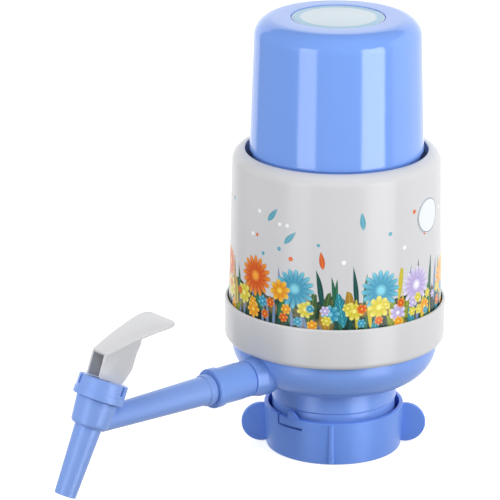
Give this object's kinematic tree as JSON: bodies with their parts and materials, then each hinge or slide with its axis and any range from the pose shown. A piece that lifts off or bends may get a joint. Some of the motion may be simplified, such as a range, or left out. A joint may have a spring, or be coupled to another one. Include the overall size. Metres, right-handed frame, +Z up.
{
  "type": "water jug hand pump",
  "caption": "Hand pump for a water jug's neck: tall press cap in a grey housing, blue bowl-shaped base, locking collar with ears, and a side spout with a lever tap.",
  "frame": {"origin": "on the neck axis, in the plane of the locking collar's foot, where the pump meets the jug", "axes": "+Z up along the neck axis toward the press cap, -Y along the spout, +X to the side; metres"},
  "size_m": [0.11, 0.2297, 0.221],
  "materials": {
    "blue_plastic": "smooth moulded cornflower-blue plastic with soft highlights",
    "grey_plastic": "smooth moulded light-grey plastic, satin gloss",
    "white_plastic": "translucent milky plastic, inside the pump",
    "soft_rubber": "soft milky silicone",
    "label_film": "pale printed film",
    "spring_steel": "drawn stainless wire"
  },
  "bodies": {
    "pump_base": {"housing_sleeve": "grey_plastic", "side_sticker": "label_film", "lower_band": "grey_plastic", "base_bowl": "blue_plastic", "base_deck": "white_plastic", "outlet_valve": "soft_rubber", "water_riser": "white_plastic", "bottle_gasket": "soft_rubber", "bellows": "white_plastic", "bellows_retainer": "white_plastic", "return_spring": "spring_steel"},
    "cap": {"press_cap": "blue_plastic", "cap_label": "label_film", "bellows_top_plate": "white_plastic", "intake_valve": "soft_rubber"},
    "collar": {"locking_collar": "blue_plastic"},
    "spout": {"tap_body": "blue_plastic", "spout_o_ring": "soft_rubber", "bonnet_nut": "blue_plastic", "bonnet_gasket": "soft_rubber", "tap_spring": "spring_steel"},
    "stem": {"tap_stem": "white_plastic", "stem_washer": "soft_rubber", "lever_pin": "spring_steel"},
    "lever": {"tap_lever": "grey_plastic"}
  },
  "joints": [
    {"name": "cap_press", "type": "slide", "parent": "pump_base", "child": "cap", "axis": [0, 0, -1], "range_m": [0, 0.052], "stiffness_N_per_m": 250, "springref_m": -0.02, "deforming": ["bellows", "return_spring"]},
    {"name": "collar_turn", "type": "hinge", "parent": "pump_base", "child": "collar", "pos_m": [0, 0, 0.011], "axis": [0, 0, 1], "range_deg": [0, 60]},
    {"name": "spout_turn", "type": "hinge", "parent": "pump_base", "child": "spout", "pos_m": [0, -0.07, 0.0466], "axis": [0, -1, 0], "range_deg": [-90, 90]},
    {"name": "stem_lift", "type": "slide", "parent": "spout", "child": "stem", "axis": [0, 0.4147, 0.91], "range_m": [0, 0.003], "stiffness_N_per_m": 60, "springref_m": -0.003, "deforming": ["tap_spring"]},
    {"name": "lever_press", "type": "hinge", "parent": "stem", "child": "lever", "pos_m": [0, -0.14302, 0.07244], "axis": [-1, 0, 0], "range_deg": [0, 28]}
  ],
  "couplings": [
    {"joint": "lever_press", "follows": "stem_lift", "rad_per_m": 161.29}
  ]
}
